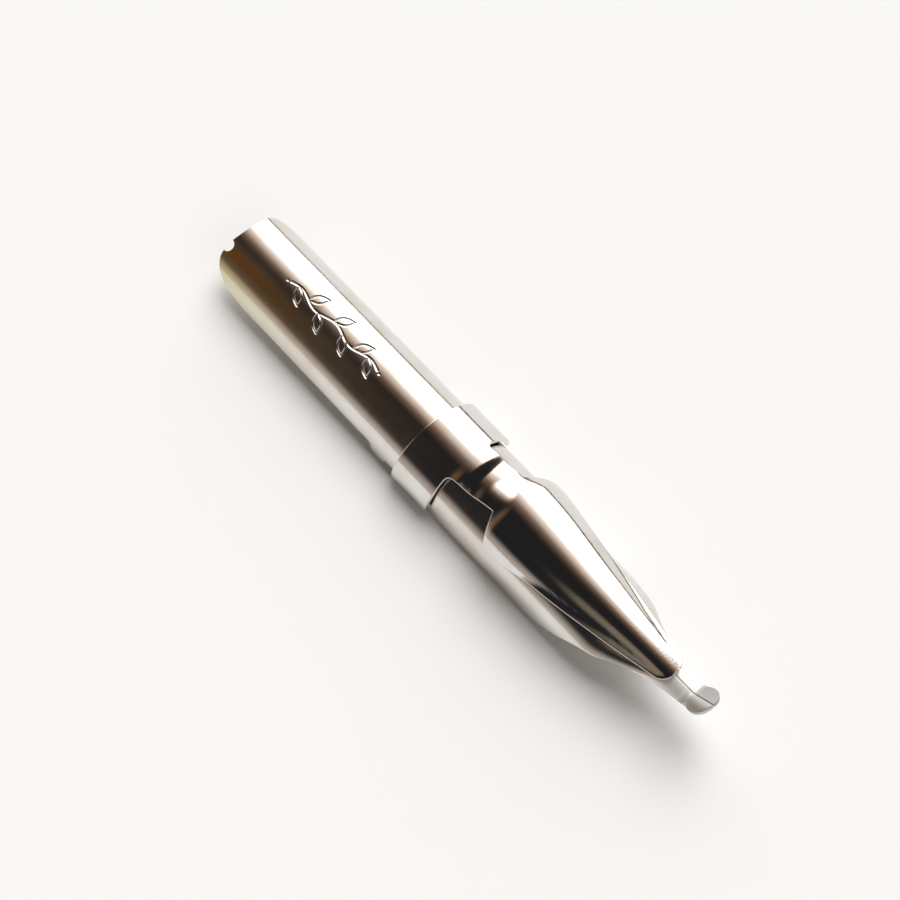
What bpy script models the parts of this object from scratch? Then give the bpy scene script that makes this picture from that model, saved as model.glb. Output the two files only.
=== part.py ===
"""Lettering nib with a clip-on over-reservoir: two stamped and bent steel sheets.

Lengths below are in millimetres and the finished meshes are in metres. X runs along the nib
towards its writing end, Y across it and Z up; the nib rests on the cut edges of its trough.
Each sheet is drawn flat, with S along its ridge and Q across it, and is then bent to shape.
"""

from math import cos, exp, pi, radians, sin, sqrt

import bpy
import numpy as np
from mathutils import Vector
from mathutils.geometry import delaunay_2d_cdt

# ---- sizes shared by both sheets
LENGTH = 36.37            # rear edge to the far rim of the writing disc
MID_X = LENGTH / 2        # the model's origin is under the middle of the nib
SHEET = 0.22              # thickness of both sheets
TROUGH_R = 2.72           # outer radius of the nib's half-tube

# ---- nib: shank
SHANK_HALF = TROUGH_R * radians(74)      # half the sheet's width, measured round the bend
REAR_LONG, REAR_WIDE = 2.9, 1.87         # the two rear corners are cut to a quarter ellipse
NICK_R = 0.35                            # small round nick in the rear edge
NICK_Q = -TROUGH_R * radians(26)
LUG_START, LUG_END = 13.4, 14.85         # ears behind the clip
LUG_HALF = TROUGH_R * radians(89)
LUG_RAMP = 0.35                          # length of each sloping end
RECESS_HALF = TROUGH_R * radians(77.5)   # the clip's folds sit in this recess

# ---- nib: front body, tines and disc
FRONT_START = 18.0
FRONT_CORNER_R = 0.5
FRONT_HALF = TROUGH_R * pi / 2           # a full half-tube: its cut edges face straight down
TAPER_START, TAPER_END = 24.9, 26.9      # here the cut edge turns in towards the tines,
TAPER_SLOPE = 0.465                      # closing at this rate on each side,
TINE_START, TINE_END = 30.9, 32.3        # and here it eases off
TINE_SLOPE = 0.24
SHOULDER, SHOULDER_AT = 0.15, 30.2       # a slight shoulder where the tines begin,
SHOULDER_REACH = 0.7                     # fading out over this length
TINE_R = 0.9                             # the trough tightens to this at the tines
TIGHTEN_START, TIGHTEN_END = 29.3, 34.0
BEND_AT, BEND_R, BEND_ANGLE = 34.82, 0.35, radians(38)
DISC_R = 0.91
DISC_AT = 35.66                          # its centre, measured along the sheet
DISC_CUP_R = 2.4
CUP_START, CUP_END = BEND_AT - 0.3, BEND_AT + 0.6   # the trough opens out to the disc here
SLIT = 0.08
SLIT_START = 26.0

# ---- over-reservoir
BAND_START, BAND_END = 15.58, 18.34
BAND_R = 3.1                             # outer radius of the clip band
BAND_TURN = radians(64.6)                # round to here, then tighter down to the sheet's edges
SIDE_R = 1.7
FOLD_R, FOLD_ANGLE, FOLD_FLAT = 0.335, radians(88), 0.3
FOLD_START, FOLD_END = 15.65, 17.85      # the folds are narrower than the band
NECK_HALF_REAR, NECK_HALF_FRONT = 1.42, 1.33
NECK_FILLET = 0.3
NECK_START, NECK_CREST_AT, NECK_LOW_AT = 18.4, 18.95, 19.85   # the ridge swells, then dips steeply
NECK_CREST, NECK_LOW = 3.16, 2.99        # their heights; the dip just clears the nib
HOOD_REAR_MINUS_Y, HOOD_REAR_PLUS_Y = 21.42, 21.0
HOOD_SHOULDER, HOOD_HEIGHT = 22.2, 3.62
HOOD_DROP, HOOD_DROP_BEND = 0.012, 0.0035     # how the ridge falls from there to the tip
HOOD_HALF = 3.1
HOOD_TAPER, HOOD_TAPER_BEND = 0.155, 0.004    # how the flat width narrows towards the tip
HOOD_CHEEK, CHEEK_END = 0.46, 26.0       # its rear corners reach this much further down
HOOD_CORNER = 22.3
CORNER_LONG, CORNER_WIDE = 0.15, 0.2     # the rear corners are cut by this much,
CORNER_TIP = (0.02, 0.06)                # with a point between to round them
REAR_BOW = 0.9                           # bow of the hood's rear edge; 1 would be straight
HOOD_R, HOOD_TIP_DOME_R = 2.85, 1.1      # the dome's radius at the rear and towards the tip,
DOME_REACH = 13.0                        # over this length
HOOD_END = 33.75
HOOD_TIP_R = 0.6
HOOD_ASIDE = 0.2                         # the hood's rear sits this far over towards +Y,
ASIDE_KEPT, ASIDE_GONE = 22.0, 28.0      # and is back on the centre line here
RIM_FLARE = 0.45                         # width of the edge strip that turns outwards,
FLARE_START, FLARE_END = 23.4, 26.4      # growing from here to here,
FLARE_FULL_HALF = 1.6                    # and narrower where the hood's half-width is below this

# ---- bending and meshing
REST = 20.0                              # longer than any section: a last bend runs to the edge
BAND_LIP = 0.05                          # the band's section holds this far past its edge
RIM_CLEAR = 0.13                         # mesh points keep this far from the outline


def smooth(a, b, x):
    """0 before a, 1 after b, with a soft start and end."""
    t = min(1.0, max(0.0, (x - a) / (b - a)))
    return t * t * (3 - 2 * t)


def eased(a, b, x):
    """The distance travelled past a at a speed that rises from 0 at a to 1 at b."""
    t = min(1.0, max(0.0, (x - a) / (b - a)))
    return (b - a) * (t**3 - t**4 / 2) + max(0.0, x - b)


def bump(a, b, ramp, x):
    return smooth(a, a + ramp, x) * (1 - smooth(b - ramp, b, x))


# ---------------------------------------------------------------- the nib's sheet, drawn flat
def nib_half(s):
    """Half the flat sheet's width at S."""
    half = SHANK_HALF + (LUG_HALF - SHANK_HALF) * bump(LUG_START, LUG_END, LUG_RAMP, s)
    if s > (LUG_START + LUG_END) / 2:
        half = max(half, RECESS_HALF)
    if s > FRONT_START:
        rise = min(1.0, (s - FRONT_START) / FRONT_CORNER_R)
        half = RECESS_HALF + (FRONT_HALF - RECESS_HALF) * sqrt(rise * (2 - rise))
    half -= TAPER_SLOPE * eased(TAPER_START, TAPER_END, s)
    half += (TAPER_SLOPE - TINE_SLOPE) * eased(TINE_START, TINE_END, s)
    half += SHOULDER * exp(-(((s - SHOULDER_AT) / SHOULDER_REACH) ** 2))
    if s < REAR_LONG:
        half -= REAR_WIDE * (1 - sqrt(max(0.0, 1 - (1 - s / REAR_LONG) ** 2)))
    reach = DISC_R**2 - (s - DISC_AT) ** 2
    disc = sqrt(reach) if reach > 0 else 0.0
    return disc if s > DISC_AT else max(half, disc)


def nib_radius(s):
    radius = TROUGH_R + (TINE_R - TROUGH_R) * smooth(TIGHTEN_START, TIGHTEN_END, s)
    return radius + (DISC_CUP_R - radius) * smooth(CUP_START, CUP_END, s)


def nib_ridge(s):
    """Point and slope of the ridge line at S: straight, then bent up at the disc."""
    turn = min(BEND_ANGLE, max(0.0, (s - BEND_AT) / BEND_R))
    x = min(s, BEND_AT) + BEND_R * sin(turn)
    z = TROUGH_R + BEND_R * (1 - cos(turn))
    flat = max(0.0, s - BEND_AT - BEND_R * BEND_ANGLE)
    return x + flat * cos(turn), z + flat * sin(turn), turn


def nib_section(s):
    return [(REST, 1 / nib_radius(s))]


def spaced(a, b, step):
    n = max(1, round((b - a) / step))
    return [a + (b - a) * k / n for k in range(n + 1)]


def bend_rows():
    return [BEND_AT + BEND_R * BEND_ANGLE * k / 4 for k in range(1, 5)]


def nib_outline():
    end = DISC_AT + DISC_R
    fine = [REAR_LONG * (1 - cos(radians(a))) for a in range(0, 91, 15)]
    side = fine + spaced(REAR_LONG, LUG_START, 1.2)[1:]
    side += spaced(LUG_START, LUG_END, 0.12)[1:] + spaced(LUG_END, FRONT_START, 0.8)[1:]
    side += [FRONT_START + FRONT_CORNER_R * (1 - cos(radians(a))) for a in range(18, 91, 18)]
    side += spaced(FRONT_START + FRONT_CORNER_R, DISC_AT - 0.6, 0.5)[1:]
    side += [DISC_AT - DISC_R * cos(radians(a)) for a in range(60, 171, 12)]
    plus_y = [(s, nib_half(s)) for s in side]
    minus_y = [(s, -q) for s, q in reversed(plus_y)]
    cut = spaced(SLIT_START, BEND_AT, 0.8) + bend_rows() + [DISC_AT, end]
    lip = [(s, SLIT / 2) for s in reversed(cut)] + [(SLIT_START - SLIT / 2, 0.0)]
    lip += [(s, -SLIT / 2) for s in cut]
    nick = [(NICK_R * sin(radians(a)), NICK_Q - NICK_R * cos(radians(a))) for a in range(0, 181, 20)]
    return plus_y + lip + minus_y + nick


# ------------------------------------------------------- the over-reservoir's sheet, drawn flat
def hood_half(s):
    """Half the hood's flat width, from its widest place at the rear to the rounded tip."""
    d = s - HOOD_CORNER
    half = HOOD_HALF - HOOD_TAPER * d - HOOD_TAPER_BEND * d * d
    half += HOOD_CHEEK * (1 - smooth(HOOD_CORNER, CHEEK_END, s))
    to_tip = HOOD_END - s
    if to_tip < HOOD_TIP_R:
        half -= HOOD_TIP_R - sqrt(max(0.0, to_tip * (2 * HOOD_TIP_R - to_tip)))
    return half


def neck_half(s):
    half = NECK_HALF_REAR + (NECK_HALF_FRONT - NECK_HALF_REAR) * smooth(BAND_END, HOOD_REAR_PLUS_Y, s)
    d = s - BAND_END
    if d < NECK_FILLET:
        half += NECK_FILLET - sqrt(max(0.0, d * (2 * NECK_FILLET - d)))
    return half


def hood_aside(s):
    """How far the neck and the hood have moved over towards +Y."""
    return HOOD_ASIDE * smooth(BAND_END, HOOD_REAR_PLUS_Y, s) * (1 - smooth(ASIDE_KEPT, ASIDE_GONE, s))


def hood_ridge(s):
    if s < NECK_CREST_AT:
        z = BAND_R + (NECK_CREST - BAND_R) * smooth(NECK_START, NECK_CREST_AT, s)
    elif s < NECK_LOW_AT:
        z = NECK_CREST + (NECK_LOW - NECK_CREST) * smooth(NECK_CREST_AT, NECK_LOW_AT, s)
    elif s < HOOD_SHOULDER:
        z = NECK_LOW + (HOOD_HEIGHT - NECK_LOW) * smooth(NECK_LOW_AT, HOOD_SHOULDER, s)
    else:
        d = s - HOOD_SHOULDER
        z = HOOD_HEIGHT - HOOD_DROP * d - HOOD_DROP_BEND * d * d
    return s, z, 0.0


def hood_section(s):
    """Bends of the cross-section from the ridge outwards: (length, curvature) in turn."""
    if s < BAND_END + BAND_LIP:
        side = SIDE_R * (pi / 2 - BAND_TURN)
        return [(BAND_R * BAND_TURN, 1 / BAND_R), (side, 1 / SIDE_R),
                (FOLD_R * FOLD_ANGLE, 1 / FOLD_R), (REST, 0.0)]
    d = max(0.0, s - HOOD_SHOULDER)
    dome = HOOD_R - (HOOD_R - HOOD_TIP_DOME_R) * smooth(0, DOME_REACH, d)
    radius = BAND_R + (dome - BAND_R) * smooth(BAND_END, HOOD_SHOULDER, s)
    if s < HOOD_SHOULDER:
        return [(REST, 1 / radius)]
    flare = RIM_FLARE * smooth(FLARE_START, FLARE_END, s) * min(1, hood_half(s) / FLARE_FULL_HALF)
    return [(max(0.05, hood_half(s) - flare), 1 / radius), (REST, -1 / radius)]


BAND_HALF = BAND_R * BAND_TURN + SIDE_R * (pi / 2 - BAND_TURN)


def fold_lines():
    return [BAND_HALF + FOLD_R * FOLD_ANGLE * k / 5 for k in range(1, 6)]


def hood_side(rear):
    """One side of the outline, from the band's rear edge to the tip."""
    end = BAND_HALF + FOLD_R * FOLD_ANGLE + FOLD_FLAT
    line = [(BAND_START, q) for q in spaced(0, BAND_HALF, 0.4)]
    line += [(FOLD_START, q) for q in (*fold_lines(), end)]
    line += [(s, end) for s in spaced(FOLD_START, FOLD_END, 0.55)[1:]]
    line += [(FOLD_END, q) for q in reversed(fold_lines())]
    line += [(BAND_END, q) for q in reversed(spaced(NECK_HALF_REAR + NECK_FILLET, BAND_HALF, 0.4))]
    fillet = [BAND_END + NECK_FILLET * (1 - cos(radians(a))) for a in range(30, 91, 20)]
    neck = fillet + spaced(BAND_END + NECK_FILLET, rear, 0.4)[1:]
    line += [(s, neck_half(s)) for s in neck]
    widest = HOOD_HALF + HOOD_CHEEK
    inner, outer = neck_half(rear), widest - CORNER_WIDE
    for k in range(1, 9):
        f = k / 8
        s = rear + (HOOD_CORNER - CORNER_LONG - rear) * f**REAR_BOW
        line.append((s, inner + (outer - inner) * f))
    line.append((HOOD_CORNER - CORNER_TIP[0], widest - CORNER_TIP[1]))
    rim = spaced(HOOD_CORNER + 0.2, HOOD_END - HOOD_TIP_R, 0.5)
    rim += [HOOD_END - HOOD_TIP_R * (1 - sin(radians(a))) for a in range(15, 91, 15)]
    return line + [(s, hood_half(s)) for s in rim]


def hood_outline():
    plus_y = hood_side(HOOD_REAR_PLUS_Y)
    minus_y = [(s, -q) for s, q in reversed(hood_side(HOOD_REAR_MINUS_Y)[1:])]
    return plus_y + minus_y


# --------------------------------------------------------------------- bending and thickening
def bent(s, q, depth, ridge, section, aside):
    """Place the flat point (S, Q), that far below the outer face, on the bent sheet."""
    x, z, slope = ridge(s)
    side = 1 if q >= 0 else -1
    remaining, across, down, turn = abs(q), 0.0, 0.0, 0.0
    for length, bend in section(s):
        run = min(remaining, length)
        if abs(bend) < 1e-9:
            across += run * cos(turn)
            down += run * sin(turn)
        else:
            across += (sin(turn + bend * run) - sin(turn)) / bend
            down += (cos(turn) - cos(turn + bend * run)) / bend
        turn += bend * run
        remaining -= run
        if remaining <= 1e-12:
            break
    across -= depth * sin(turn)
    down += depth * cos(turn)
    return Vector((x + down * sin(slope) - MID_X, side * across + aside(s), z - down * cos(slope))) / 1000


def inside(point, loop):
    x, y = point
    hit = False
    for (x1, y1), (x2, y2) in zip(loop, loop[1:] + loop[:1]):
        if (y1 > y) != (y2 > y) and x < x1 + (y - y1) * (x2 - x1) / (y2 - y1):
            hit = not hit
    return hit


def distance(point, loop):
    p = np.array(point)
    a = np.array(loop)
    b = np.roll(a, -1, axis=0)
    d = b - a
    t = np.clip(((p - a) * d).sum(1) / np.maximum((d * d).sum(1), 1e-12), 0, 1)
    return float(np.hypot(*(p - a - d * t[:, None]).T).min())


def sheet(name, outline, shape, rows, columns):
    """A closed solid: the flat outline meshed, bent, and given its thickness."""
    points = list(outline)
    for s in rows:
        for q in columns:
            if inside((s, q), outline) and distance((s, q), outline) > RIM_CLEAR:
                points.append((s, q))
    count = len(outline)
    edges = [(k, (k + 1) % count) for k in range(count)]
    flat = delaunay_2d_cdt([Vector(p) for p in points], edges, [], 1, 1e-6)
    places, triangles = flat[0], [tuple(t) for t in flat[2]]
    verts = [bent(p.x, p.y, depth, *shape) for depth in (0.0, SHEET) for p in places]
    n = len(places)
    faces, sides = [], {}
    for a, b, c in triangles:
        faces += [(a, b, c), (a + n, c + n, b + n)]
        for u, v in ((a, b), (b, c), (c, a)):
            if (v, u) in sides:
                del sides[(v, u)]
            else:
                sides[(u, v)] = True
    for u, v in sides:
        faces += [(v, u, u + n), (v, u + n, v + n)]
    mesh = bpy.data.meshes.new(name)
    mesh.from_pydata(verts, [], faces)
    mesh.validate()
    obj = bpy.data.objects.new(name, mesh)
    bpy.context.scene.collection.objects.link(obj)
    for poly in mesh.polygons:
        poly.use_smooth = True
    mesh.set_sharp_from_angle(angle=radians(35))
    return obj


def polished_steel(name, colour, roughness):
    mat = bpy.data.materials.new(name)
    mat.use_nodes = True
    shader = mat.node_tree.nodes["Principled BSDF"]
    shader.inputs["Base Color"].default_value = (*colour, 1)
    shader.inputs["Metallic"].default_value = 1.0
    shader.inputs["Roughness"].default_value = roughness
    return mat


for old in list(bpy.data.objects):
    bpy.data.objects.remove(old, do_unlink=True)

lines = [TROUGH_R * radians(a) for a in range(-88, 89, 8)]
nib_rows = spaced(0.4, LUG_START, 1.2) + spaced(LUG_START + 0.35, FRONT_START, 0.6)
nib_rows += spaced(FRONT_START + 0.45, BEND_AT, 0.55) + bend_rows()
nib_rows += spaced(BEND_AT + 0.5, DISC_AT + DISC_R, 0.25)
nib_shape = (nib_ridge, nib_section, lambda s: 0.0)
nib = sheet("nib_body", nib_outline(), nib_shape, nib_rows, lines)
nib.data.materials.append(polished_steel("nib_steel", (0.74, 0.71, 0.67), 0.16))

half_lines = spaced(0, BAND_HALF, 0.4) + fold_lines()
wide = [-q for q in half_lines[1:]] + half_lines
hood_rows = spaced(BAND_START + 0.55, BAND_END - 0.5, 0.9) + spaced(BAND_END + 0.1, 22.4, 0.27)
hood_rows += spaced(22.9, HOOD_END - 0.3, 0.55)
hood_shape = (hood_ridge, hood_section, hood_aside)
hood = sheet("over_reservoir", hood_outline(), hood_shape, hood_rows, wide)
hood.data.materials.append(polished_steel("reservoir_steel", (0.72, 0.69, 0.66), 0.14))
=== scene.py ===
"""Looks of the lettering nib: both steel sheets in full detail, their metal, and a small studio.

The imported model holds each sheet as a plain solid. Here each is drawn again with the same sizes, with
rounded sheet edges, exact surface normals and an engraved ornament, and takes its CAD node's place.
Lengths are in millimetres until they reach Blender, which works in metres. S runs along a sheet's
ridge from the nib's rear edge and Q across it, measured on the flat sheet, positive at +Y.
"""
from math import cos, pi, radians, sin

import bpy
import numpy as np
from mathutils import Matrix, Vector
from mathutils.geometry import delaunay_2d_cdt


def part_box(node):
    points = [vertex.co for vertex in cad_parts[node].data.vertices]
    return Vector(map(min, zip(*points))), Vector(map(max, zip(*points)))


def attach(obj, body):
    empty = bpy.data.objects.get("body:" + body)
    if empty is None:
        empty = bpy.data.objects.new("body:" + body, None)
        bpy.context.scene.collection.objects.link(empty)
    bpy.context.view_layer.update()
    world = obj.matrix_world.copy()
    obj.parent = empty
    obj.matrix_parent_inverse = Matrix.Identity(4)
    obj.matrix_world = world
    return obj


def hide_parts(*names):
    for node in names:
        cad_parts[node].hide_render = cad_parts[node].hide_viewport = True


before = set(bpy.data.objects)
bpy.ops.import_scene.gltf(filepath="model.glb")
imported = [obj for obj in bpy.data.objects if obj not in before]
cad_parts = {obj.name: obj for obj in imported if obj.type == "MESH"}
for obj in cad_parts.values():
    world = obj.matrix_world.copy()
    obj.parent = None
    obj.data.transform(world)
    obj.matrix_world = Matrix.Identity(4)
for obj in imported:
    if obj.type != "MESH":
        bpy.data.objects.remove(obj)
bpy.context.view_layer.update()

MM = 0.001
REAR_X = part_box("nib_body")[0].x / MM     # the rear edge: S is measured from here
TROUGH_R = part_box("nib_body")[1].y / MM   # outer radius of the nib's half-tube
SHEET = 0.22                              # thickness of both sheets
NIB_EDGE_R, HOOD_EDGE_R = 0.04, 0.06      # rounding of each sheet's outer edges; the inner is half
NORMAL_REACH, RIM_REACH = 0.003, 0.02     # a normal and a rim's outward direction are measured this far

# ---- nib: shank
SHANK_HALF = TROUGH_R * radians(74)
REAR_LONG, REAR_WIDE = 2.9, 1.87
NICK_R = 0.35
NICK_Q = -TROUGH_R * radians(26)
LUG_START, LUG_END = 13.4, 14.85
LUG_HALF = TROUGH_R * radians(89)
LUG_RAMP = 0.35
RECESS_HALF = TROUGH_R * radians(77.5)

# ---- nib: front body, tines and disc
FRONT_START = 18.0
FRONT_CORNER_R = 0.5
FRONT_HALF = TROUGH_R * pi / 2
TAPER_START, TAPER_END, TAPER_SLOPE = 24.9, 26.9, 0.465
TINE_START, TINE_END, TINE_SLOPE = 30.9, 32.3, 0.24
SHOULDER, SHOULDER_AT, SHOULDER_REACH = 0.15, 30.2, 0.7
TINE_R = 0.9
TIGHTEN_START, TIGHTEN_END = 29.3, 34.0
BEND_AT, BEND_R, BEND_ANGLE = 34.82, 0.35, radians(38)
DISC_R = 0.91
DISC_AT = 35.66
DISC_END = DISC_AT + DISC_R
DISC_CUP_R = 2.4
CUP_START, CUP_END = BEND_AT - 0.3, BEND_AT + 0.6
SLIT = 0.06                               # narrower than the CAD's, since its lips are rounded
SLIT_START = 26.0

# ---- over-reservoir
BAND_START, BAND_END = 15.58, 18.34
BAND_R = 3.1
BAND_TURN = radians(64.6)
SIDE_R = 1.7
FOLD_R, FOLD_ANGLE, FOLD_FLAT = 0.335, radians(88), 0.3
FOLD_START, FOLD_END = 15.65, 17.85
BAND_HALF = BAND_R * BAND_TURN + SIDE_R * (pi / 2 - BAND_TURN)
NECK_HALF_REAR, NECK_HALF_FRONT = 1.42, 1.33
NECK_FILLET = 0.3
NECK_START, NECK_CREST_AT, NECK_LOW_AT = 18.4, 18.95, 19.85
NECK_CREST, NECK_LOW = 3.16, 2.99
HOOD_REAR_MINUS_Y, HOOD_REAR_PLUS_Y = 21.42, 21.0
HOOD_SHOULDER, HOOD_HEIGHT = 22.2, 3.62
HOOD_DROP, HOOD_DROP_BEND = 0.012, 0.0035
HOOD_HALF = 3.1
HOOD_TAPER, HOOD_TAPER_BEND = 0.155, 0.004
HOOD_CHEEK, CHEEK_END = 0.46, 26.0
HOOD_CORNER = 22.3
CORNER_LONG, CORNER_WIDE = 0.15, 0.2
CORNER_TIP = (0.02, 0.06)
REAR_BOW = 0.9
HOOD_R, HOOD_TIP_DOME_R, DOME_REACH = 2.85, 1.1, 13.0
HOOD_END = 33.75
HOOD_TIP_R = 0.6
HOOD_ASIDE, ASIDE_KEPT, ASIDE_GONE = 0.2, 22.0, 28.0
RIM_FLARE, FLARE_FULL_HALF = 0.45, 1.6
FLARE_START, FLARE_END = 23.4, 26.4
REST = 20.0                               # longer than any section: a last bend runs to the edge
BAND_LIP = 0.05                           # the band's section holds this far past its edge

# ---- engraved ornament on the shank: a wavy stem with leaves on either side and a dot at each end
ORNAMENT_START, ORNAMENT_END, ORNAMENT_Q = 4.2, 11.3, -0.14
STEM_WAVES, STEM_SWAY = 2.5, 0.17
LEAVES, FIRST_LEAF, LEAF_STEP = 7, 0.5, 0.95
LEAF_LONG, LEAF_BOW, LEAF_LEAN = 1.15, 0.24, radians(48)
DOT_GAP, DOT_HALF = 0.22, 0.01
GROOVE_HALF, GROOVE_DEPTH = 0.1, 0.045

# ---- spacing of the mesh
NIB_STEP, TIP_STEP, ORNAMENT_STEP = 0.17, 0.07, 0.03
TIP_START, TIP_HALF = 30, 1.3             # the tines' and the disc's finer mesh
FIELD_BEFORE, FIELD_AFTER = 0.5, 0.6      # the ornament's fine mesh may reach this far past its ends
FIELD_Q = (-1.6, 1.4)
FINE_RIM, CLEAR_RIM = 0.025, 0.06         # it ends this far from a groove, and the plain mesh starts here
RESERVOIR_STEP = 0.13
EDGE_CLEAR = 0.02                         # inner points keep this far from a sheet's edge

# ---- colours of the metal
NIB_STEEL, NIB_TARNISH = (0.76, 0.74, 0.71), (0.68, 0.62, 0.54)
RESERVOIR_STEEL, RESERVOIR_TARNISH = (0.76, 0.74, 0.72), (0.69, 0.64, 0.57)
OLIVE, ORANGE_BROWN = (0.66, 0.62, 0.45), (0.95, 0.6, 0.2)
# painted highlight: the tines are painted this light to stand for the bright light they reflect
TINE_PAINTED_HIGHLIGHT = (0.95, 0.93, 0.9)
# painted reflection on the disc, with the darker grey for its +Y half
DISC_PAINTED_REFLECTION, DISC_PAINTED_DARK_REFLECTION = (0.6, 0.6, 0.575), (0.4, 0.4, 0.385)


def smooth(a, b, x):
    """0 before a, 1 after b, with a soft start and end."""
    t = np.clip((x - a) / (b - a), 0, 1)
    return t * t * (3 - 2 * t)


def eased(a, b, x):
    """The distance travelled past a at a speed that rises from 0 at a to 1 at b."""
    t = np.clip((x - a) / (b - a), 0, 1)
    return (b - a) * (t**3 - t**4 / 2) + np.maximum(0, x - b)


def bump(a, b, soft, x):
    return smooth(a, a + soft, x) * (1 - smooth(b - soft, b, x))


def spaced(a, b, step):
    n = max(1, round((b - a) / step))
    return np.linspace(a, b, n + 1)


def turned(step, first=0.0, last=90.0):
    """Angles in radians from first to last degrees."""
    return np.radians(spaced(first, last, step))


# ---------------------------------------------------------------- the nib's sheet, drawn flat
def nib_half(s):
    """Half the flat sheet's width at S."""
    half = SHANK_HALF + (LUG_HALF - SHANK_HALF) * bump(LUG_START, LUG_END, LUG_RAMP, s)
    half = np.where(s > (LUG_START + LUG_END) / 2, np.maximum(half, RECESS_HALF), half)
    rise = np.clip((s - FRONT_START) / FRONT_CORNER_R, 0, 1)
    front = RECESS_HALF + (FRONT_HALF - RECESS_HALF) * np.sqrt(rise * (2 - rise))
    half = np.where(s > FRONT_START, front, half)
    half = half - TAPER_SLOPE * eased(TAPER_START, TAPER_END, s)
    half += (TAPER_SLOPE - TINE_SLOPE) * eased(TINE_START, TINE_END, s)
    half += SHOULDER * np.exp(-(((s - SHOULDER_AT) / SHOULDER_REACH) ** 2))
    corner = np.clip(1 - s / REAR_LONG, 0, 1)
    half -= REAR_WIDE * (1 - np.sqrt(1 - corner**2))
    disc = np.sqrt(np.maximum(0, DISC_R**2 - (s - DISC_AT) ** 2))
    return np.where(s > DISC_AT, disc, np.maximum(half, disc))


def nib_ridge(s):
    """Place and slope of the ridge line at S: straight, then bent up at the disc."""
    turn = np.clip((s - BEND_AT) / BEND_R, 0, BEND_ANGLE)
    flat = np.maximum(0, s - BEND_AT - BEND_R * BEND_ANGLE)
    x = np.minimum(s, BEND_AT) + BEND_R * np.sin(turn) + flat * np.cos(turn)
    z = TROUGH_R + BEND_R * (1 - np.cos(turn)) + flat * np.sin(turn)
    return x, z, turn


def nib_section(s):
    """Bends of the cross-section from the ridge outwards: (length, curvature) in turn."""
    radius = TROUGH_R + (TINE_R - TROUGH_R) * smooth(TIGHTEN_START, TIGHTEN_END, s)
    radius = radius + (DISC_CUP_R - radius) * smooth(CUP_START, CUP_END, s)
    return [(REST, 1 / radius)]


def nib_outline():
    side = [REAR_LONG * (1 - np.cos(turned(3))), spaced(REAR_LONG, LUG_START, 0.3)[1:],
            spaced(LUG_START, LUG_END, 0.04)[1:], spaced(LUG_END, FRONT_START, 0.25)[1:],
            FRONT_START + FRONT_CORNER_R * (1 - np.cos(turned(6, 6))),
            spaced(FRONT_START + FRONT_CORNER_R, DISC_AT - 0.72, 0.1)[1:],
            DISC_AT - DISC_R * np.cos(turned(4, 40, 176))]
    side = np.concatenate(side)
    plus_y = np.stack([side, nib_half(side)], 1)
    minus_y = plus_y[::-1] * (1, -1)
    lip = np.append(spaced(SLIT_START, BEND_AT - 0.1, 0.2), spaced(BEND_AT, DISC_END - 0.01, 0.05))
    lip = np.stack([lip, np.full(len(lip), SLIT / 2)], 1)
    slit = np.concatenate([lip[::-1], [(SLIT_START - SLIT, 0)], lip * (1, -1)])
    around = turned(9, 0, 180)
    nick = np.stack([NICK_R * np.sin(around), NICK_Q - NICK_R * np.cos(around)], 1)
    return np.concatenate([plus_y, slit, minus_y, nick])


# ------------------------------------------------------- the over-reservoir's sheet, drawn flat
def hood_half(s):
    """Half the hood's flat width, from its widest place at the rear to the rounded tip."""
    d = s - HOOD_CORNER
    half = HOOD_HALF - HOOD_TAPER * d - HOOD_TAPER_BEND * d * d
    half += HOOD_CHEEK * (1 - smooth(HOOD_CORNER, CHEEK_END, s))
    to_tip = np.clip(HOOD_END - s, 0, HOOD_TIP_R)
    return half - HOOD_TIP_R + np.sqrt(to_tip * (2 * HOOD_TIP_R - to_tip))


def neck_half(s):
    half = NECK_HALF_REAR + (NECK_HALF_FRONT - NECK_HALF_REAR) * smooth(BAND_END, HOOD_REAR_PLUS_Y, s)
    d = np.clip(s - BAND_END, 0, NECK_FILLET)
    return half + NECK_FILLET - np.sqrt(d * (2 * NECK_FILLET - d))


def hood_aside(s):
    """How far the neck and the hood have moved over towards +Y."""
    return HOOD_ASIDE * smooth(BAND_END, HOOD_REAR_PLUS_Y, s) * (1 - smooth(ASIDE_KEPT, ASIDE_GONE, s))


def hood_ridge(s):
    d = np.maximum(0, s - HOOD_SHOULDER)
    z = BAND_R + (NECK_CREST - BAND_R) * smooth(NECK_START, NECK_CREST_AT, s)
    z = z + (NECK_LOW - NECK_CREST) * smooth(NECK_CREST_AT, NECK_LOW_AT, s)
    z = z + (HOOD_HEIGHT - NECK_LOW) * smooth(NECK_LOW_AT, HOOD_SHOULDER, s)
    return s, z - HOOD_DROP * d - HOOD_DROP_BEND * d * d, np.zeros_like(s)


def hood_section(s):
    """As nib_section: the clip band with its folds, then the neck and the hood's dome."""
    d = np.maximum(0, s - HOOD_SHOULDER)
    dome = HOOD_R - (HOOD_R - HOOD_TIP_DOME_R) * smooth(0, DOME_REACH, d)
    radius = BAND_R + (dome - BAND_R) * smooth(BAND_END, HOOD_SHOULDER, s)
    flare = RIM_FLARE * smooth(FLARE_START, FLARE_END, s) * np.minimum(1, hood_half(s) / FLARE_FULL_HALF)
    to_flare = np.maximum(0.05, hood_half(s) - flare)
    band = s < BAND_END + BAND_LIP
    side = BAND_HALF - BAND_R * BAND_TURN
    return [(np.where(band, BAND_R * BAND_TURN, to_flare), np.where(band, 1 / BAND_R, 1 / radius)),
            (np.where(band, side, REST), np.where(band, 1 / SIDE_R, -1 / radius)),
            (FOLD_R * FOLD_ANGLE, 1 / FOLD_R),
            (REST, 0.0)]


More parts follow.
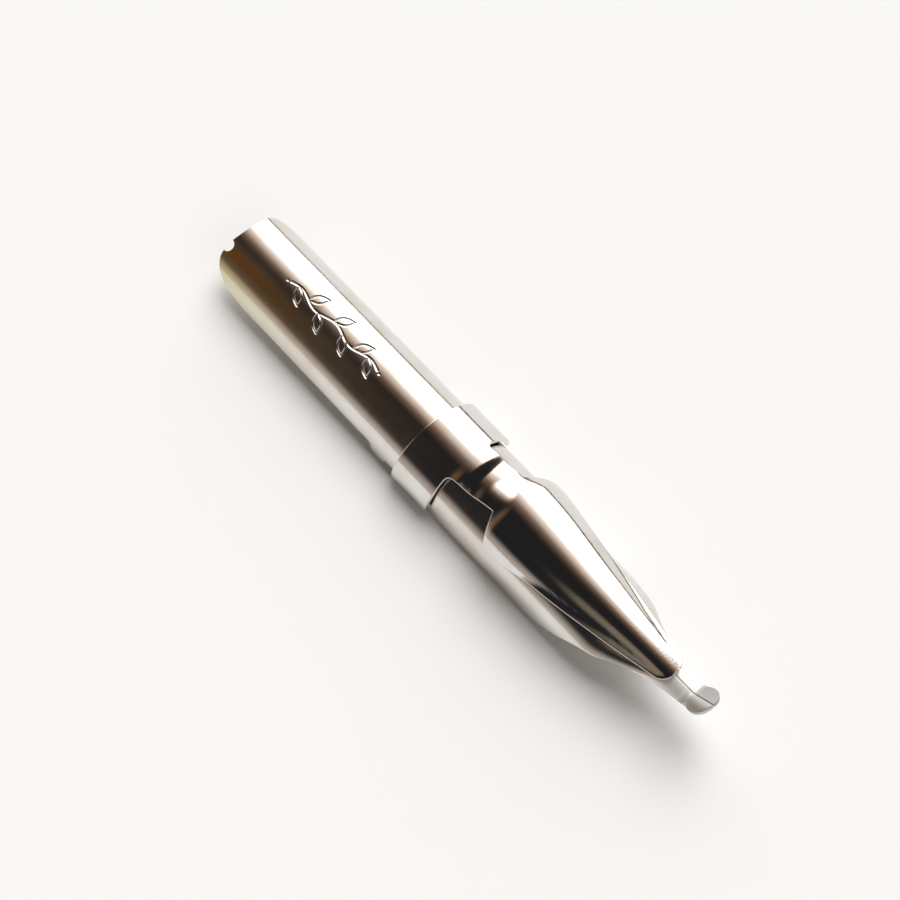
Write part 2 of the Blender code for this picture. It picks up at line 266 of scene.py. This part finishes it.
def hood_side(rear):
    """One side of the outline, from the band's rear edge to the tip."""
    end = BAND_HALF + FOLD_R * FOLD_ANGLE + FOLD_FLAT
    fold = spaced(BAND_HALF, end, 0.05)
    across = spaced(0, BAND_HALF, 0.12)
    line = [(BAND_START, q) for q in across]
    line += [(FOLD_START, q) for q in fold[1:]]
    line += [(s, end) for s in spaced(FOLD_START, FOLD_END, 0.12)[1:]]
    line += [(FOLD_END, q) for q in fold[-2:0:-1]]
    line += [(BAND_END, q) for q in spaced(NECK_HALF_REAR + NECK_FILLET, BAND_HALF, 0.12)[::-1]]
    neck = np.append(BAND_END + NECK_FILLET * (1 - np.cos(turned(8, 8))),
                     spaced(BAND_END + NECK_FILLET, rear, 0.12)[1:])
    line += list(zip(neck, neck_half(neck)))
    widest = HOOD_HALF + HOOD_CHEEK
    inner, outer = float(neck_half(rear)), widest - CORNER_WIDE
    for f in np.linspace(0, 1, 17)[1:]:
        s = rear + (HOOD_CORNER - CORNER_LONG - rear) * f**REAR_BOW
        line.append((s, inner + (outer - inner) * f))
    line.append((HOOD_CORNER - CORNER_TIP[0], widest - CORNER_TIP[1]))
    rim = np.append(spaced(HOOD_CORNER + 0.15, HOOD_END - HOOD_TIP_R, 0.12),
                    HOOD_END - HOOD_TIP_R * (1 - np.sin(turned(5, 5))))
    return np.array(line + list(zip(rim, hood_half(rim))))


def hood_outline():
    plus_y = hood_side(HOOD_REAR_PLUS_Y)
    minus_y = hood_side(HOOD_REAR_MINUS_Y)[:0:-1] * (1, -1)
    return np.concatenate([plus_y, minus_y[1:]])


# --------------------------------------------------------------------------- the ornament
def ornament():
    """The engraved strokes as polylines in (S, Q)."""
    stem_s = np.linspace(ORNAMENT_START, ORNAMENT_END, 60)
    wave = (ORNAMENT_END - ORNAMENT_START) / STEM_WAVES

    def stem_q(s):
        return ORNAMENT_Q + STEM_SWAY * np.sin(2 * pi * (s - ORNAMENT_START) / wave)

    strokes = [np.stack([stem_s, stem_q(stem_s)], 1)]
    t = np.linspace(0, 1, 14)
    along = LEAF_LONG * t
    for k in range(LEAVES):
        root = ORNAMENT_START + FIRST_LEAF + k * LEAF_STEP
        side = 1 if k % 2 else -1
        for bow in (LEAF_BOW, -LEAF_BOW):
            out = bow * np.sin(pi * t)
            s = root + along * cos(LEAF_LEAN) - out * sin(LEAF_LEAN)
            q = stem_q(root) + side * (along * sin(LEAF_LEAN) + out * cos(LEAF_LEAN))
            strokes.append(np.stack([s, q], 1))
    for s in (ORNAMENT_START - DOT_GAP, ORNAMENT_END + DOT_GAP):
        strokes.append(np.array([(s - DOT_HALF, stem_q(s)), (s + DOT_HALF, stem_q(s))]))
    return strokes


def stroke_distance(points, strokes):
    """From each point to the nearest stroke."""
    best = np.full(len(points), np.inf)
    for line in strokes:
        for a, b in zip(line[:-1], line[1:]):
            d = b - a
            t = np.clip(((points - a) @ d) / (d @ d), 0, 1)
            best = np.minimum(best, np.hypot(*(points - a - t[:, None] * d).T))
    return best


# --------------------------------------------------------------------- bending and thickening
def bent(points, depth, ridge, section, aside):
    """Flat points (S, Q), each that far below the outer face, placed on the bent sheet."""
    s, q = np.asarray(points, float).T
    x, z, slope = ridge(s)
    remaining = np.abs(q)
    across, down, turn = np.zeros_like(s), np.zeros_like(s), np.zeros_like(s)
    for length, bend in section(s):
        run = np.minimum(remaining, length)
        half = bend * run / 2
        chord = run * np.sinc(half / pi)
        across += chord * np.cos(turn + half)
        down += chord * np.sin(turn + half)
        turn += bend * run
        remaining = remaining - run
    across -= depth * np.sin(turn)
    down += depth * np.cos(turn)
    y = np.sign(q) * across + aside(s)
    return np.stack([x + down * np.sin(slope) + REAR_X, y, z - down * np.cos(slope)], 1)


def unit(vectors):
    return vectors / np.maximum(np.linalg.norm(vectors, axis=1), 1e-12)[:, None]


def inset(loop, width):
    """The loop moved inwards, which is to the right of its direction, but less at tight corners."""
    step, back = np.roll(loop, -1, 0) - loop, loop - np.roll(loop, 1, 0)
    ahead, behind = unit(step), unit(back)
    turn = -np.arctan2(behind[:, 0] * ahead[:, 1] - behind[:, 1] * ahead[:, 0], (behind * ahead).sum(1))
    # never so far in that the two sides of a tight corner cross
    reach = np.minimum(np.linalg.norm(step, axis=1), np.linalg.norm(back, axis=1))
    width = np.minimum(width, 0.45 * reach / np.tan(np.clip(turn, 0.001, 3) / 2))
    inward = unit(np.stack([(ahead + behind)[:, 1], -(ahead + behind)[:, 0]], 1))
    mitre = 1 / np.maximum(np.cos(turn / 2), 0.65)
    return loop + inward * (mitre * width)[:, None]


def inside(points, loop):
    """Which points lie inside the loop, and how far each is from it."""
    hit = np.zeros(len(points), bool)
    near = np.full(len(points), np.inf)
    x, y = points.T
    for a, b in zip(loop, np.roll(loop, -1, 0)):
        d = b - a
        if d[1]:
            hit ^= ((a[1] > y) != (b[1] > y)) & (x < a[0] + (y - a[1]) * d[0] / d[1])
        t = np.clip(((points - a) @ d) / max(d @ d, 1e-12), 0, 1)
        near = np.minimum(near, np.hypot(*(points - a - t[:, None] * d).T))
    return hit, near


def grid(rows, columns):
    return np.stack(np.meshgrid(rows, columns, indexing="ij"), -1).reshape(-1, 2)


def triangulated(loop, points):
    """The flat region inside the loop as points and triangles; the loop's own points come first."""
    hit, near = inside(points, loop)
    every = np.concatenate([loop, points[hit & (near > EDGE_CLEAR)]])
    edges = [(k, (k + 1) % len(loop)) for k in range(len(loop))]
    flat = delaunay_2d_cdt([Vector(p) for p in every.tolist()], edges, [], 1, 1e-7)
    if len(flat[0]) != len(every):
        raise RuntimeError("the flat sheet's points run into each other")
    return every, [tuple(t) for t in flat[2]]


def surface_normals(points, depth_at, shape):
    """Outward normals of the surface that lies depth_at below the bent sheet's outer face."""
    spans = []
    for step in ((NORMAL_REACH, 0), (0, NORMAL_REACH)):
        ahead, behind = points + step, points - np.array(step)
        spans.append(bent(ahead, depth_at(ahead), *shape) - bent(behind, depth_at(behind), *shape))
    return unit(np.cross(*spans))


def formed_sheet(name, outline, shape, edge_r, outer_points, inner_points, engraved=None):
    """A closed sheet with rounded edges, whose normals come from the bent surface itself."""
    inner_r = edge_r / 2

    def outer_depth(points):
        return engraved(points) if engraved else np.zeros(len(points))

    def at_depth(depth):
        return lambda points: np.full(len(points), depth)

    outer, outer_faces = triangulated(inset(outline, edge_r), outer_points)
    inner, inner_faces = triangulated(inset(outline, inner_r), inner_points)
    n, m, rim = len(outer), len(inner), len(outline)
    places = [bent(outer, outer_depth(outer), *shape), bent(inner, SHEET, *shape)]
    normals = [surface_normals(outer, outer_depth, shape), -surface_normals(inner, at_depth(SHEET), shape)]
    faces = list(outer_faces) + [(a + n, c + n, b + n) for a, b, c in inner_faces]

    rim_normal = surface_normals(outline, at_depth(0.0), shape)
    outward = unit(bent(outline, 0, *shape) - bent(inset(outline, RIM_REACH), 0, *shape))
    arcs = [(edge_r, edge_r * (1 - np.cos(angle)), angle) for angle in turned(30, 30, 90)]
    arcs += [(inner_r, SHEET - inner_r * (1 + np.cos(angle)), angle) for angle in turned(30, 90, 150)]
    rings = [np.arange(rim)]
    for k, (radius, depth, angle) in enumerate(arcs):
        rings.append(n + m + k * rim + np.arange(rim))
        places.append(bent(inset(outline, radius * (1 - np.sin(angle))), depth, *shape))
        normals.append(unit(rim_normal * np.cos(angle) + outward * np.sin(angle)))
    rings.append(n + np.arange(rim))
    for top, low in zip(rings[:-1], rings[1:]):
        quads = np.stack([top, np.roll(top, -1), np.roll(low, -1), low], 1)
        faces += [tuple(quad) for quad in quads.tolist()]

    mesh = bpy.data.meshes.new(name)
    mesh.from_pydata((np.concatenate(places) * MM).tolist(), [], faces)
    mesh.polygons.foreach_set("use_smooth", [True] * len(mesh.polygons))
    mesh.normals_split_custom_set_from_vertices(np.concatenate(normals).tolist())
    piece = bpy.data.objects.new(name, mesh)
    bpy.context.scene.collection.objects.link(piece)
    return piece


def make_nib():
    strokes = ornament()
    rows = spaced(0.1, 34.4, NIB_STEP)
    body = grid(rows[rows < TIP_START], spaced(-FRONT_HALF, FRONT_HALF, NIB_STEP))
    tip = grid(spaced(TIP_START, DISC_END, TIP_STEP), spaced(-TIP_HALF, TIP_HALF, TIP_STEP))
    plain = np.concatenate([body, tip])
    field = grid(spaced(ORNAMENT_START - FIELD_BEFORE, ORNAMENT_END + FIELD_AFTER, ORNAMENT_STEP),
                 spaced(*FIELD_Q, ORNAMENT_STEP))
    fine = field[stroke_distance(field, strokes) < GROOVE_HALF + FINE_RIM]
    clear = plain[stroke_distance(plain, strokes) > GROOVE_HALF + CLEAR_RIM]

    def engraved(points):
        return GROOVE_DEPTH * (1 - smooth(0, GROOVE_HALF, stroke_distance(points, strokes)))

    shape = (nib_ridge, nib_section, np.zeros_like)
    return formed_sheet("nib_sheet", nib_outline(), shape, NIB_EDGE_R,
                        np.concatenate([clear, fine]), plain, engraved)


def make_reservoir():
    points = grid(spaced(BAND_START, HOOD_END, RESERVOIR_STEP),
                  spaced(-BAND_HALF - 1, BAND_HALF + 1, RESERVOIR_STEP))
    shape = (hood_ridge, hood_section, hood_aside)
    return formed_sheet("reservoir_sheet", hood_outline(), shape, HOOD_EDGE_R, points, points)


# ------------------------------------------------------------------------------ shader nodes
def node(tree, kind, links=(), **values):
    """A new node. Values are set on its sockets or settings; links pairs sockets with outputs."""
    made = tree.nodes.new(kind)
    for key, value in values.items():
        if key in made.inputs:
            made.inputs[key].default_value = value
        else:
            setattr(made, key, value)
    for socket, output in links:
        tree.links.new(output, made.inputs[socket])
    return made


def ranged(tree, value, start, end, low=0.0, high=1.0):
    """The value, taken from start..end to low..high and held beyond them."""
    limits = {"From Min": start, "From Max": end, "To Min": low, "To Max": high}
    return node(tree, "ShaderNodeMapRange", [("Value", value)], **limits).outputs["Result"]


def maths(tree, operation, one, two):
    return node(tree, "ShaderNodeMath", [(0, one), (1, two)], operation=operation).outputs[0]


def tinted(tree, amount, below, above, blend_type="MIX"):
    """That much of the upper colour laid over the lower; each is a colour or an output."""
    made = node(tree, "ShaderNodeMix", [(0, amount)], data_type="RGBA", blend_type=blend_type)
    for socket, colour in ((6, below), (7, above)):
        if isinstance(colour, tuple):
            made.inputs[socket].default_value = (*colour, 1)
        else:
            tree.links.new(colour, made.inputs[socket])
    return made.outputs[2]


# ------------------------------------------------------------------------------ materials
def polished_steel(name, colour, tarnish, roughness, extra_tints=None):
    """Bright steel with lengthwise rolling marks, a fine grain and faint clouds of tarnish."""
    mat = bpy.data.materials.new(name)
    mat.use_nodes = True
    tree = mat.node_tree
    shader = tree.nodes["Principled BSDF"]
    shader.inputs["Metallic"].default_value = 1.0
    place = node(tree, "ShaderNodeTexCoord").outputs["Object"]
    stretched = node(tree, "ShaderNodeMapping", [("Vector", place)], Scale=(180, 6000, 6000))
    streaks = node(tree, "ShaderNodeTexNoise", [("Vector", stretched.outputs["Vector"])],
                   Scale=1.0, Detail=5.0, Roughness=0.6).outputs["Fac"]
    clouds = node(tree, "ShaderNodeTexNoise", [("Vector", place)],
                  Scale=420.0, Detail=4.0, Roughness=0.55).outputs["Fac"]
    grain = node(tree, "ShaderNodeTexNoise", [("Vector", place)], Scale=11000.0, Detail=2.0).outputs["Fac"]

    metal = tinted(tree, ranged(tree, clouds, 0.45, 0.75), colour, tarnish)
    rough = ranged(tree, streaks, 0, 1, 0.7 * roughness, 1.4 * roughness)
    if extra_tints:
        metal, rough = extra_tints(tree, shader, place, metal, rough)
    tree.links.new(metal, shader.inputs["Base Color"])
    tree.links.new(rough, shader.inputs["Roughness"])
    marks = node(tree, "ShaderNodeBump", [("Height", maths(tree, "ADD", streaks, grain))],
                 Strength=0.5, Distance=0.000003)
    tree.links.new(marks.outputs["Normal"], shader.inputs["Normal"])
    return mat


def nib_tints_and_painted_light(tree, shader, place, metal, rough):
    """Olive and orange-brown tints on the shank's rear -Y flank, the tines painted lighter as a painted
    highlight and made matt, and a painted reflection on the disc: greyer, darker on its +Y half.
    """
    axes = node(tree, "ShaderNodeSeparateXYZ", [("Vector", place)]).outputs

    def zone(axis, start, end, low=0.0, high=1.0):
        """From low to high between two places in millimetres along an axis."""
        return ranged(tree, axes[axis], start * MM, end * MM, low, high)

    # an olive tint over the shank's rear -Y flank, and an orange-brown streak along it
    rear = zone("X", -17.2, -10.5, 1, 0)
    flank = maths(tree, "MULTIPLY", rear, zone("Y", -0.8, -1.6))
    metal = tinted(tree, flank, metal, OLIVE)
    streak = maths(tree, "MULTIPLY", zone("Y", -1.65, -1.3), zone("Y", -1.3, -0.9, 1, 0))
    metal = tinted(tree, maths(tree, "MULTIPLY", rear, streak), metal, ORANGE_BROWN)

    # painted highlight: the tines painted lighter, and made matt and less metallic
    tines = maths(tree, "MULTIPLY", zone("X", 14.2, 15.8), zone("X", 16.5, 16.9, 1, 0.4))
    metal = tinted(tree, tines, metal, TINE_PAINTED_HIGHLIGHT)
    # painted reflection: the disc greyer than the rest of the nib, and darker still on its +Y half
    disc = zone("X", 16.8, 17.1)
    metal = tinted(tree, disc, metal, DISC_PAINTED_REFLECTION)
    plus_y_half = maths(tree, "MULTIPLY", disc, zone("Y", -0.05, 0.15))
    metal = tinted(tree, plus_y_half, metal, DISC_PAINTED_DARK_REFLECTION)

    tree.links.new(ranged(tree, tines, 0, 1, 1, 0.55), shader.inputs["Metallic"])
    return metal, maths(tree, "ADD", rough, ranged(tree, tines, 0, 1, 0, 0.4))


# ------------------------------------------------------------------------------ the studio
def studio_sky():
    """What the metal mirrors.

    A wide soft light on the nib's +Y side and a low one behind it, darkness above and on its -Y side,
    dim glows near the horizon, and a soft fill from beyond the writing end.
    """
    world = bpy.data.worlds.new("studio")
    bpy.context.scene.world = world
    world.use_nodes = True
    tree = world.node_tree
    sight = node(tree, "ShaderNodeTexCoord").outputs["Generated"]

    def towards(direction, low, high):
        """0 to 1 as the cosine of the angle to a direction goes from low to high."""
        dot = node(tree, "ShaderNodeVectorMath", [(0, sight)], operation="DOT_PRODUCT")
        dot.inputs[1].default_value = Vector(direction).normalized()
        return ranged(tree, dot.outputs["Value"], low, high)

    def both(one, two):
        return maths(tree, "MULTIPLY", one, two)

    side_light = both(towards((0.08, 0.99, -0.12), -0.28, 0.5), towards((-1, 0, 0), -0.06, 0.07))
    rear_light = both(towards((0, 1, 0), -0.1, 0.26), towards((-1, 0, 0), 0.5, 0.78))
    lights = both(maths(tree, "MAXIMUM", side_light, rear_light), towards((0, 0, 1), 0.03, 0.13))
    ramp = node(tree, "ShaderNodeValToRGB", [("Fac", lights)])
    stops = ramp.color_ramp.elements
    stops[0].color = (0.0055, 0.0055, 0.006, 1)
    stops[1].color = (1, 0.99, 0.97, 1)
    for position, colour in ((0.085, (0.011, 0.0075, 0.006)), (0.23, (0.032, 0.019, 0.014)),
                             (0.41, (0.08, 0.055, 0.041)), (0.57, (0.22, 0.177, 0.148)),
                             (0.75, (0.37, 0.325, 0.29))):
        stops.new(position).color = (*colour, 1)

    minus_y = towards((0, -1, 0), 0.0, 0.4)
    behind = both(towards((-1, 0, 0), 0.32, 0.52), towards((1, 0, 0), -0.72, -0.56))
    glows = [((0.045, 0.024, 0.009), both(minus_y, behind)),
             ((0.05, 0.042, 0.034), both(behind, towards((0, 0, -1), -0.6, -0.2))),
             ((0.1, 0.082, 0.06), towards((0.12, -0.68, 0.72), 0.955, 1.0)),
             ((0.155, 0.134, 0.118), both(minus_y, towards((0, 0, -1), -0.34, -0.12))),
             ((0.25, 0.25, 0.245), both(towards((1, 0, 0), 0.35, 0.7), towards((0, 0, 1), -0.1, 0.5)))]
    sky = ramp.outputs["Color"]
    for colour, amount in glows:
        sky = tinted(tree, amount, sky, colour, "ADD")
    back = tree.nodes["Background"]
    tree.links.new(sky, back.inputs["Color"])
    back.inputs["Strength"].default_value = 3.0


def soft_light():
    """Lights the floor and casts the shadow; the metal mirrors the sky alone."""
    light = bpy.data.lights.new("soft_light", "SUN")
    light.energy = 2.35
    light.angle = radians(50)
    light.color = (0.93, 0.965, 1.0)
    lamp = bpy.data.objects.new("soft_light", light)
    lamp.rotation_euler = Vector((-0.25, 0.75, 1.0)).to_track_quat("Z", "Y").to_euler()
    lamp.visible_glossy = False
    bpy.context.scene.collection.objects.link(lamp)


def pale_floor():
    reach = 3.0
    mesh = bpy.data.meshes.new("floor")
    mesh.from_pydata([(-reach, -reach, 0), (reach, -reach, 0), (reach, reach, 0), (-reach, reach, 0)],
                     [], [(0, 1, 2, 3)])
    floor = bpy.data.objects.new("floor", mesh)
    bpy.context.scene.collection.objects.link(floor)
    mat = bpy.data.materials.new("pale_floor")
    mat.use_nodes = True
    shader = mat.node_tree.nodes["Principled BSDF"]
    shader.inputs["Base Color"].default_value = (0.876, 0.866, 0.849, 1)
    shader.inputs["Roughness"].default_value = 0.9
    shader.inputs["Specular IOR Level"].default_value = 0.1
    mesh.materials.append(mat)


def photographed_from():
    """The camera looks down past the writing end."""
    azimuth, elevation, distance = radians(-41.18), radians(65.0), 110.0
    target = Vector((-1.33, 0.065, 1.5)) * MM
    away = Vector((cos(elevation) * cos(azimuth), cos(elevation) * sin(azimuth), sin(elevation)))
    camera = bpy.data.cameras.new("camera")
    camera.lens = 84.2
    camera.sensor_width = 36.0
    camera.clip_start = 0.001
    obj = bpy.data.objects.new("camera", camera)
    obj.location = target + away * distance * MM
    obj.rotation_euler = away.to_track_quat("Z", "Y").to_euler()
    bpy.context.scene.collection.objects.link(obj)
    bpy.context.scene.camera = obj


photographed_from()
studio_sky()
soft_light()
pale_floor()

nib = make_nib()
nib.data.materials.append(polished_steel("nib_metal", NIB_STEEL, NIB_TARNISH, 0.14, nib_tints_and_painted_light))
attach(nib, "nib")
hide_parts("nib_body")

reservoir = make_reservoir()
steel = polished_steel("reservoir_metal", RESERVOIR_STEEL, RESERVOIR_TARNISH, 0.10)
reservoir.data.materials.append(steel)
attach(reservoir, "reservoir")
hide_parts("over_reservoir")

bpy.context.scene.view_settings.view_transform = "Standard"
